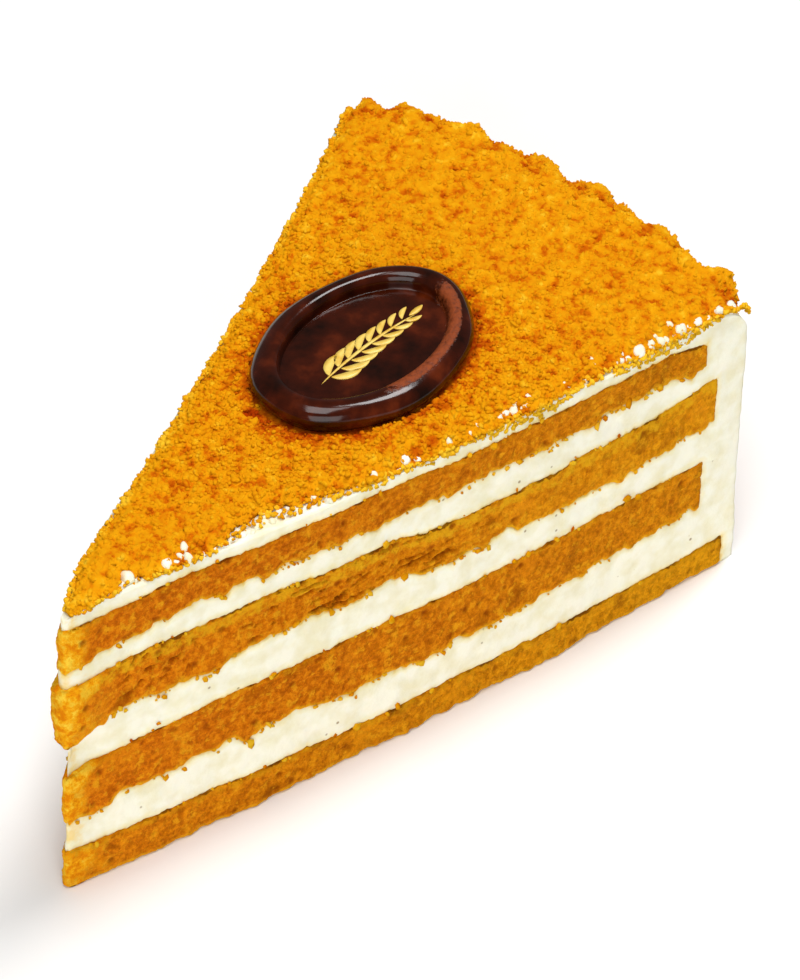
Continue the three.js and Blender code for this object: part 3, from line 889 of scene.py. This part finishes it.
# %% The bed of crumbs
BED_PITCH = 0.4
BED_SINK = 1.9  # the bed reaches this far down, into the cream's skin
BED_LEAST = 0.4  # and is nowhere thinner than this
COPLANAR = 0.0008  # squares of the underside this near to one plane are merged
BUMP_RANGE = (-0.7, 0.45)  # heights that the colour follows: painted shade in the pits, painted light on the tops


def address(x, y):
    """Where a point of the flat sheet lies on the slice: s and v."""
    return math.hypot(x, y), math.atan2(y, x) / HALF_WEDGE


def make_bed(material):
    half_width = SHEET_LENGTH * math.sin(HALF_WEDGE) + 1
    bm = bmesh.new()
    size = SHEET_LENGTH / 2
    bmesh.ops.create_grid(bm, x_segments=round(SHEET_LENGTH / BED_PITCH),
                          y_segments=round(2 * half_width / BED_PITCH), size=size)
    bmesh.ops.scale(bm, verts=bm.verts[:], vec=(1, half_width / size, 1))
    bmesh.ops.translate(bm, verts=bm.verts[:], vec=(size, 0, 0))
    outside = [face for face in bm.faces if not on_sheet(*address(*face.calc_center_median().xy), 0)]
    bmesh.ops.delete(bm, geom=outside, context="FACES")
    loose = [vert for vert in bm.verts if not vert.link_faces]
    bmesh.ops.delete(bm, geom=loose, context="VERTS")
    border = [vert for vert in bm.verts if vert.is_boundary]
    bmesh.ops.smooth_vert(bm, verts=border, factor=0.5, use_axis_x=True, use_axis_y=True)

    high = bm.verts.layers.float.new("high")
    under = set(extrude(bm, (0, 0, 0)))
    for vert in bm.verts:
        s, v = address(*vert.co.xy)
        place, facing, bump = on_crumbs(s, clamp(v, -1, 1))
        # The colour attribute is painted light and shade: darker in the pits and round the seal, paler along
        # the far edge and at the tip.
        vert[high] = clamp(bump, *BUMP_RANGE) + painted_edge_glow(s, v) - 1.2 * seal_shade(place.x, place.y) ** 2
        vert.co = place - facing * (max(BED_SINK + bump - EDGE_TAPER, BED_LEAST) if vert in under else 0.0)
    flat = [edge for edge in bm.edges if edge.verts[0] in under and edge.verts[1] in under]
    bmesh.ops.dissolve_limit(bm, angle_limit=COPLANAR, verts=list(under), edges=flat)
    finish_piece("crumb_bed", bm, material, "crumbs", ("crumb_coat",))


# %% [markdown]
# On the bed lie the crumbs themselves. Each kind is one irregular lump, a coarse sphere pushed
# about by noise, with twenty faces. Copies of it are joined into one mesh by array arithmetic,
# every copy with its own size, turn, place and tint, so that no two look the same.
# A copy is written as a row of numbers: x, y, z, radius and, for crumbs, its tint.

# %% Crumb kinds
KINDS = 4
CRUMB_STRETCH = (1.2, 0.95, 0.85)  # crumbs are longer than wide
random = np.random.default_rng(11)


def lump_shape(subdivisions, dents, fineness, offset=0.0, stretch=(1, 1, 1)):
    """Vertices and faces of one lump about a unit in radius."""
    bm = bmesh.new()
    bmesh.ops.create_icosphere(bm, subdivisions=subdivisions, radius=1.0)
    for vert in bm.verts:
        vert.co *= 1 + dents * noise.noise(vert.co * fineness + Vector((offset, 0, 0)))
    bmesh.ops.scale(bm, verts=bm.verts[:], vec=stretch)
    bmesh.ops.recalc_face_normals(bm, faces=bm.faces[:])
    corners = np.array([vert.co[:] for vert in bm.verts])
    faces = np.array([[vert.index for vert in face.verts] for face in bm.faces])
    bm.free()
    return corners, faces


def turns(count):
    """Random rotations as matrices, from random quaternions."""
    spins = random.normal(size=(count, 4))
    spins /= np.linalg.norm(spins, axis=1, keepdims=True)
    return np.array([[row[:] for row in Quaternion(spin).to_matrix()] for spin in spins.tolist()])


def join_copies(name, shape, copies):
    """One mesh of many copies of a shape, in metres."""
    corners, faces = shape
    count = len(copies)
    stretch = random.uniform(0.8, 1.2, (count, 1, 3)) * copies[:, 3, None, None]
    turned = np.einsum("nij,nkj->nki", turns(count), corners * stretch)
    points = (turned + copies[:, None, :3]).reshape(-1, 3) * MM
    steps = (np.arange(count) * len(corners))[:, None, None]
    mesh = bpy.data.meshes.new(name)
    mesh.from_pydata(points.tolist(), [], (faces + steps).reshape(-1, faces.shape[1]).tolist())
    return mesh


def mark(mesh, name, values):
    """Keeps a value for each copy in a mesh, or one for all of them, on its vertices."""
    spread = np.repeat(values, len(mesh.vertices) // len(values)).astype(np.float32)
    mesh.attributes.new(name, "FLOAT", "POINT").data.foreach_set("value", spread)


# %% Strew the crumbs
CRUMB_PITCH = 0.56
CRUMB_JITTER = 0.45  # of the pitch
BED_CRUMBS = (0.33, 0.25, 0.18, 0.62)  # usual radius, spread, smallest and largest radius
CRUMB_SUNK = 0.34  # crumbs sit up to this deep in the bed
CROWN, CROWN_AT, CROWN_WIDE = 0.16, 62, (18, 42)  # and stand higher over the middle of the slice


def crumb_radius(usual, spread, smallest, largest):
    return clamp(random.lognormal(math.log(usual), spread), smallest, largest)


def strew():
    """The crumbs that cling to the bed, on a jittered lattice."""
    for row in range(round(SHEET_LENGTH / CRUMB_PITCH)):
        half = int((row + 1) * math.tan(HALF_WEDGE))
        for column in range(-half - 1, half + 2):
            jitter = random.uniform(-CRUMB_JITTER, CRUMB_JITTER, 2)
            x = (row + jitter[0]) * CRUMB_PITCH
            y = (column + 0.5 * (row % 2) + jitter[1]) * CRUMB_PITCH
            s, v = address(x, y)
            radius = crumb_radius(*BED_CRUMBS)
            lift = random.uniform(-CRUMB_SUNK, 0.0) + CROWN * (1 - smoothstep(abs(s - CROWN_AT), *CROWN_WIDE))
            shade = random.uniform(-0.5, 0.5)
            if not on_sheet(s, v, -0.1):
                continue
            place, facing, bump = on_crumbs(s, v)
            if seal_room(place.x, place.y, 0.4 * radius) < 1 or place.z < 1.6 * radius:
                continue
            # As on the bed, the tint is painted shade in the pits and round the seal and painted light at the
            # edges and the tip; the random part is each crumb's own tone.
            tint = 0.9 * clamp(bump, *BUMP_RANGE) + 0.6 * shade + painted_edge_glow(s, v)
            yield *(place + facing * lift), radius, tint - 0.9 * seal_shade(place.x, place.y) ** 2


def strew_cream():
    """Loose crumbs on the bare cream beside the near edge, and torn ones along both edges."""
    for s in np.arange(TIP_START + 1, FLAT_LENGTH + CORNER_LENGTH, 0.3):
        r, z, turn = crumb_section(s)
        for side, edge in ((-1, near_edge(s)), (1, far_edge(s))):
            radius = random.uniform(0.2, 0.46)
            inward = edge * random.uniform(0.35, 1.05)
            v = side * (1 - clamp(inward / (HALF_WEDGE * r), 0, 0.98))
            low = fall(CREAM_TOP, r) - fall(CRUMB_TOP, r)
            depth = random.uniform(low, low + 0.7) - TIP_DROP * tip_slope(s)
            yield *Vector((*plan(r, v), z + depth * math.cos(turn))), radius, random.uniform(0.2, 1.3)


# Crumbs also fell over the near edge. HANG is how far down the cut they cling, as the photo shows it.
HANG = curve((17, 0), (22, 0.5), (27, 0), (50, 0), (53, 0.8), (58, 0.2), (63, 1), (68, 0.4), (73, 1.1),
             (79, 1.6), (84, 2.2), (89, 0.3), (94, 0.3), (99, 1.8), (104, 1.4), (109, 2), (114, 1))


def strew_over_edge():
    """Crumbs that fell over the near edge and cling to the cut cream below it."""
    for s in np.arange(18, FLAT_LENGTH, 0.25):
        hang = look_up(HANG, s)
        radius = random.uniform(0.25, 0.55)
        down, chance, shade = random.uniform(0, 1, 3)
        if chance > 0.8 * hang:
            continue
        point = Vector((*plan(s, -1), fall(CREAM_TOP, s) + 0.3 - hang * down))
        # Painted light: these crumbs get a paler tint than those on the bed, to make up for the weaker light
        # on the cut face.
        yield *(point + outward(-1) * (relief(point, KNIFE_BEND) - 0.1)), radius, 1.3 + shade


# %% Strew the cut faces
TORN_CRUMBS = (0.27, 0.4, 0.12, 0.6)
TORN_SHARE = {"top": 0.2, "bottom": 0.55}
OUTLINES = [(index, side, face) for index in range(4) for side in ("top", "bottom") for face in (-1, 1)]


def strew_cut():
    """Crumbs that the knife tore from the sponges and left in the cream, mostly along undersides."""
    for index, side, face in OUTLINES:
        if index == 0 and side == "bottom":
            continue
        into = 1 if side == "top" else -1
        for r in np.arange(TIP_START, SPONGES[index]["rim"], 0.3):
            radius = crumb_radius(*TORN_CRUMBS)
            off, shade, chance = random.uniform(0, 1, 3)
            cluster = 0.5 + noise.noise((r / 3.5, index * 3.1, face + 7.7 * (side == "top")))
            if chance > TORN_SHARE[side] * clamp(cluster) ** 2:
                continue
            depth = radius * (1.5 * off - 0.7) + 0.6 * off ** 6 * cluster
            point = Vector((*plan(r, face), ragged_level(index, side, r, face) + into * depth))
            point += outward(face) * (relief(point, KNIFE_BEND) + 0.3 * radius)
            dark = 0.9 if side == "top" and off > 0.8 else -0.2
            yield *point, radius, 1.2 * shade - dark


def make_crumbs(material):
    crumbs = np.array([*strew(), *strew_cream(), *strew_over_edge(), *strew_cut()])
    kinds = random.integers(0, KINDS, len(crumbs))
    for kind in range(KINDS):
        chosen = crumbs[kinds == kind]
        name = f"cake_crumbs_{kind + 1}"
        mesh = join_copies(name, lump_shape(1, 0.6, 1.7, kind * 5.3, CRUMB_STRETCH), chosen)
        mark(mesh, "tint", chosen[:, 4])
        place_piece(name, mesh, material, "crumbs")
    print(len(crumbs), "crumbs")


# %% [markdown]
# Dried honey-cake crumbs are brighter than the cut sponge, because light passes through the thin
# crumbs. Their colour also holds painted light and shade: golden where they stand up, a deep red
# orange in the pits, paler along the far edge and at the tip, darker round the seal. The tint of
# each crumb and the height of the bed choose the colour, and fine noise breaks it up. So small a
# lump scatters light all round, so its shading is softened by a normal that leans upwards.

# %% Crumb finish


def crumb_finish(name, attribute, stretch):
    made, tree, shader, read = finish(name, {"fine": (0.8, 3.0, 0.5), "dots": (1.9, 1.0, 0.5)}, (attribute,))
    value = read["fine"]
    for source, strength in (("dots", 1.8), (attribute, stretch)):
        links = {0: read[source], 1: strength, 2: value}
        value = node(tree, "Math", links, operation="MULTIPLY_ADD").outputs[0]
    share = node(tree, "MapRange", {0: value, 1: 0.48, 2: 2.18}).outputs[0]
    # The ramp runs from a deep red orange, painted shade for the pits between crumbs, to a pale gold, painted
    # light on their tops.
    stops = [(0.0, "#a03400"), (0.28, "#c46402"), (0.48, "#d68a06"), (0.75, "#dc980a"), (1.0, "#e8b626")]
    colour = node(tree, "ValToRGB", {"Fac": share}, stops).outputs["Color"]
    facing = node(tree, "NewGeometry").outputs["Normal"]
    raised = node(tree, "VectorMath", {0: facing, 1: (0, 0, 0.8)}, operation="ADD").outputs["Vector"]
    soft = node(tree, "VectorMath", {0: raised}, operation="NORMALIZE").outputs["Vector"]
    bump = node(tree, "Bump", {"Height": read["fine"], "Strength": 0.4, "Distance": 0.3 * MM, "Normal": soft})
    plug(shader, {"Base Color": colour, "Normal": bump.outputs["Normal"], "Roughness": 1.0,
                  "Specular IOR Level": 0.04})
    return made


make_bed(crumb_finish("pressed_cake_crumbs", "high", 0.6))
make_crumbs(crumb_finish("dried_cake_crumbs", "tint", 0.65))

# %% [markdown]
# ## Beads of cream
#
# When the slice was cut, the knife pushed cream up through the crumbs at the near edge. It stands
# there in soft white beads, the largest near the tip and in a row at the rim, with small lumps
# between them. Each is a small sphere pushed out of round and sunk into the coat.

# %% Beads
BIG_BEADS = ((15.3, 1.1), (20.6, 1.0), (23.9, 0.85), (97.0, 0.8), (98.4, 0.6), (100.5, 0.9),
             (102.4, 0.7), (104.1, 0.9), (106.7, 0.7), (108.0, 0.9), (109.2, 0.8), (111.5, 0.9),
             (113.2, 0.6), (115.5, 0.9), (117.9, 0.8))
TIP_BEADS = 30  # beads nearer the middle than this are sunk deeper
BARE_LEAST = 0.6  # a narrower strip of bare cream is taken as none
BEAD_SOAK, BEAD_TIP = 2.0, 20.0  # the beads are white: far from any sponge and from the tip


def bead_row():
    """The large beads, and small lumps here and there between them."""
    small = [(s + random.uniform(-0.6, 0.6), random.uniform(0.4, 0.9)) for s in np.arange(11, 116, 0.7)]
    for s, radius in [*BIG_BEADS, *small]:
        r, z, turn = crumb_section(s)
        bare = near_edge(s)
        share, chance = random.uniform(0, 1, 2)
        inward = mix(0.2, 0.8, share) * bare + 0.9 * radius
        lift = -0.35 * radius
        if (s, radius) in BIG_BEADS:
            lift = (0.35 if s < TIP_BEADS else 0.55) * radius
        elif bare < BARE_LEAST:  # the lump breaks through the crumbs
            if chance > 0.5:
                continue
            inward = bare + radius + 1.5 * share
            lift = 0.6 + 0.1 * radius
        v = -1 + clamp(inward / (HALF_WEDGE * r), 0, 1)
        height = fall(CREAM_TOP, r) - CORNER_DOWN * (1 - math.cos(turn)) - TIP_DROP * tip_slope(s)
        yield *Vector((*plan(r, v), height + lift)), radius


beads = join_copies("cream_beads", lump_shape(3, 0.45, 0.9), np.array([*bead_row()]))
mark(beads, "soak", [BEAD_SOAK])
mark(beads, "tip", [BEAD_TIP])
place_piece("cream_beads", beads, sour_cream, "cream")

# %% [markdown]
# ## The chocolate seal
#
# Melted dark chocolate was dropped on the crumbs and pressed with an oval stamp, like sealing wax.
# The floor is flat and glossy, the rim a thick roll that ran out unevenly. A section is drawn once
# and spun all the way round, then the round dish is pulled apart to an oval of even rim width.

# %% Section of the seal
SEAL_RIM_WIDTH = 4.0
SEAL_RIM_HEIGHT = 3.9
SEAL_FLOOR = 1.7
SEAL_ROLL = 2.1  # half height of the roll
ROLL_LEAN = 1.35  # above 1 the roll leans inwards
SEAL_INNER = SEAL_WIDTH / 2 - SEAL_RIM_WIDTH
SEAL_SECTION = [(-0.08, SEAL_FLOOR), (-0.01, SEAL_FLOOR + 0.12)]  # (share of the rim's width, height)
for degrees in (24, 45, 66, 90, 114, 136, 158, 182, 206):
    turn = math.radians(degrees)
    height = SEAL_RIM_HEIGHT - SEAL_ROLL * (1 - math.sin(turn))
    SEAL_SECTION.append(((0.5 - 0.5 * math.cos(turn)) ** ROLL_LEAN, height))
SEAL_SECTION.append((0.8, 0.0))
FLOOR_RINGS, CURVE_STEPS, SPIN_STEPS = 14, 8, 180
RIM_SPREAD = ((0.012, 3, 0.6), (0.010, 7, 2), (-0.025, 1, math.radians(52)))  # (share, waves round, phase)
RIM_RISE = ((0.06, 2, 1.1), (0.03, 5, 0))
SMEAR_ACROSS = (-1.2, 0.4, 1.8, 2.8)  # the stamp scuffed the rim's inside here, from the floor's edge
SMEAR_MIDDLE, SMEAR_FADE = -60, (45, 75)  # and round the rim in degrees


def smooth_curve(points, steps):
    """A curve through all the points that leaves each of them without a corner."""
    ends = [points[0] * 2 - points[1], *points, points[-1] * 2 - points[-2]]
    smooth = []
    for a, b, c, d in zip(ends, ends[1:], ends[2:], ends[3:]):
        for step in range(steps):
            t = step / steps
            smooth.append(0.5 * (2 * b + (c - a) * t + (2 * a - 5 * b + 4 * c - d) * t * t
                                 + (3 * b - a - 3 * c + d) * t ** 3))
    return smooth + [points[-1]]


def swing(angle, waves_round):
    """Waves round the rim added up."""
    return sum(share * math.sin(count * angle + phase) for share, count, phase in waves_round)


def seal_place(height):
    """Lays what is drawn flat into the slice, at a height above the seal's base."""
    return (Matrix.Translation((seal_middle.x, seal_middle.y, SEAL_BASE + height))
            @ Matrix.Rotation(-math.atan(TOP_SLOPE), 4, "Y") @ Matrix.Rotation(SEAL_TURN, 4, "Z"))


def make_seal(material):
    points = [Vector((SEAL_INNER + share * SEAL_RIM_WIDTH, 0, z)) for share, z in SEAL_SECTION]
    ring = SEAL_INNER * 0.9 / FLOOR_RINGS
    section = [Vector((ring * step, 0, SEAL_FLOOR)) for step in range(FLOOR_RINGS)]
    section += [*smooth_curve(points, CURVE_STEPS), Vector((0, 0, 0))]
    bm = bmesh.new()
    verts = [bmesh.ops.create_vert(bm, co=point)["vert"][0] for point in section]
    edges = [bm.edges.new(pair) for pair in zip(verts, verts[1:])]
    bmesh.ops.spin(bm, geom=verts + edges, axis=(0, 0, 1), cent=(0, 0, 0), dvec=(0, 0, 0),
                   angle=2 * math.pi, steps=SPIN_STEPS, use_merge=True)
    bmesh.ops.remove_doubles(bm, verts=bm.verts[:], dist=0.001)
    smear = bm.verts.layers.float.new("smear")
    stretch = (SEAL_LENGTH - SEAL_WIDTH) / 2
    for vert in bm.verts:
        radius, angle = math.hypot(vert.co.x, vert.co.y), math.atan2(vert.co.y, vert.co.x)
        rim = smoothstep(radius, SEAL_INNER, SEAL_WIDTH / 2)
        spread = radius * (1 + rim * swing(angle, RIM_SPREAD))
        x = (spread + stretch * min(1, radius / SEAL_INNER)) * math.cos(angle)
        z = vert.co.z * (1 + rim * swing(angle, RIM_RISE))
        vert[smear] = (window(radius - SEAL_INNER, *SMEAR_ACROSS)
                       * (1 - smoothstep(abs(math.degrees(angle) - SMEAR_MIDDLE), *SMEAR_FADE)))
        vert.co = (x, spread * math.sin(angle), z)
    bmesh.ops.transform(bm, matrix=seal_place(0), verts=bm.verts[:])
    finish_piece("chocolate_seal_disc", bm, material, "chocolate", ("chocolate_seal",))


# %% Chocolate finish
# Tempered dark chocolate is nearly black and glossy, with a slow brown cloud in it. Where the stamp
# scuffed the rim it is dull, paler and gritty.
chocolate, tree, shader, read = finish(
    "tempered_dark_chocolate",
    {"cloud": (5, 4.0, 0.5), "scuffs": (0.7, 4.0, 0.7), "wave": (4, 2.0, 0.5)},
    ("smear",),
)
stops = [(0.32, "#140400"), (0.55, "#380f02"), (0.72, "#5a2008")]
colour = node(tree, "ValToRGB", {"Fac": read["cloud"]}, stops).outputs["Color"]
both = node(tree, "Math", {0: read["smear"], 1: read["scuffs"]}, operation="ADD").outputs[0]
scuffed = node(tree, "MapRange", {0: both, 1: 1.15, 2: 1.6}, interpolation_type="SMOOTHSTEP").outputs[0]
colour = node(tree, "Mix", {0: scuffed, 6: colour, 7: linear("#8c3e14")}, data_type="RGBA").outputs[2]
dull = node(tree, "MapRange", {0: scuffed, 3: 0.12, 4: 0.7}, interpolation_type="SMOOTHSTEP").outputs[0]
wavy = node(tree, "Bump", {"Height": read["wave"], "Strength": 0.2, "Distance": 0.3 * MM}).outputs["Normal"]
grit = node(tree, "Math", {0: scuffed, 1: read["scuffs"]}, operation="MULTIPLY").outputs[0]
bump = node(tree, "Bump", {"Height": grit, "Strength": 0.6, "Distance": 0.3 * MM, "Normal": wavy})
plug(shader, {"Base Color": colour, "Normal": bump.outputs["Normal"], "Roughness": dull, "IOR": 1.46,
              "Specular IOR Level": 0.33})
make_seal(chocolate)

# %% [markdown]
# ## The gold print
#
# A sprig of leaves is printed on the seal's floor with gold-tinted cocoa butter. It is a film a
# tenth of a millimetre thick. The stem is one long narrow leaf, and every leaf is a small flat
# grid whose rows are narrowed to a point at both ends, then thickened.

# %% Sprig
PRINT_LIFT = 0.1
STEM_LENGTH = 20.0
LEAF_PAIRS = 8


def print_leaf(bm, root, direction, length, width, bend):
    """Adds one flat leaf that starts at a place in the plane and curves to one side."""
    for vert in bmesh.ops.create_grid(bm, x_segments=12, y_segments=2, size=0.5)["verts"]:
        along, side = vert.co.x + 0.5, 2 * vert.co.y
        half = 0.5 * width * math.sin(math.pi * along) ** 0.7
        turn = direction + bend * along
        x = root[0] + length * along * math.cos(turn) - side * half * math.sin(turn)
        y = root[1] + length * along * math.sin(turn) + side * half * math.cos(turn)
        vert.co = (x, y, 0)


def make_sprig(material):
    bm = bmesh.new()
    start = -STEM_LENGTH / 2
    print_leaf(bm, root=(start, -0.6), direction=0.12, length=STEM_LENGTH, width=0.5, bend=-0.14)
    for step in range(LEAF_PAIRS):
        share = (step + 0.9) / (LEAF_PAIRS + 0.7)
        x = start + STEM_LENGTH * share
        y = -0.6 + 1.4 * share * (1 - share)
        size = 4.9 - 2.4 * share
        for side in (-1, 1):
            print_leaf(bm, root=(x, y + 0.2 * side), direction=side * 0.95, length=size,
                       width=0.3 * size, bend=side * -0.5)
    print_leaf(bm, root=(start + STEM_LENGTH - 0.6, -0.55), direction=-0.1, length=3.0, width=0.9, bend=0.1)
    extrude(bm, (0, 0, PRINT_LIFT))
    bmesh.ops.transform(bm, matrix=seal_place(SEAL_FLOOR), verts=bm.verts[:])
    finish_piece("gold_sprig", bm, material, "gold_print")


# %% Gold finish
# Cocoa butter tinted gold is a soft yellow film with a satin sheen. It isn't metal, so its colour
# stays the same from every side.
gold, tree, shader, read = finish("gold_cocoa_butter_print", {"cloud": (1.5, 3.0, 0.5)})
colour = node(tree, "ValToRGB", {"Fac": read["cloud"]}, [(0.35, "#dcae3c"), (0.65, "#f0cf68")])
plug(shader, {"Base Color": colour.outputs["Color"], "Roughness": 0.35, "IOR": 1.46})
make_sprig(gold)
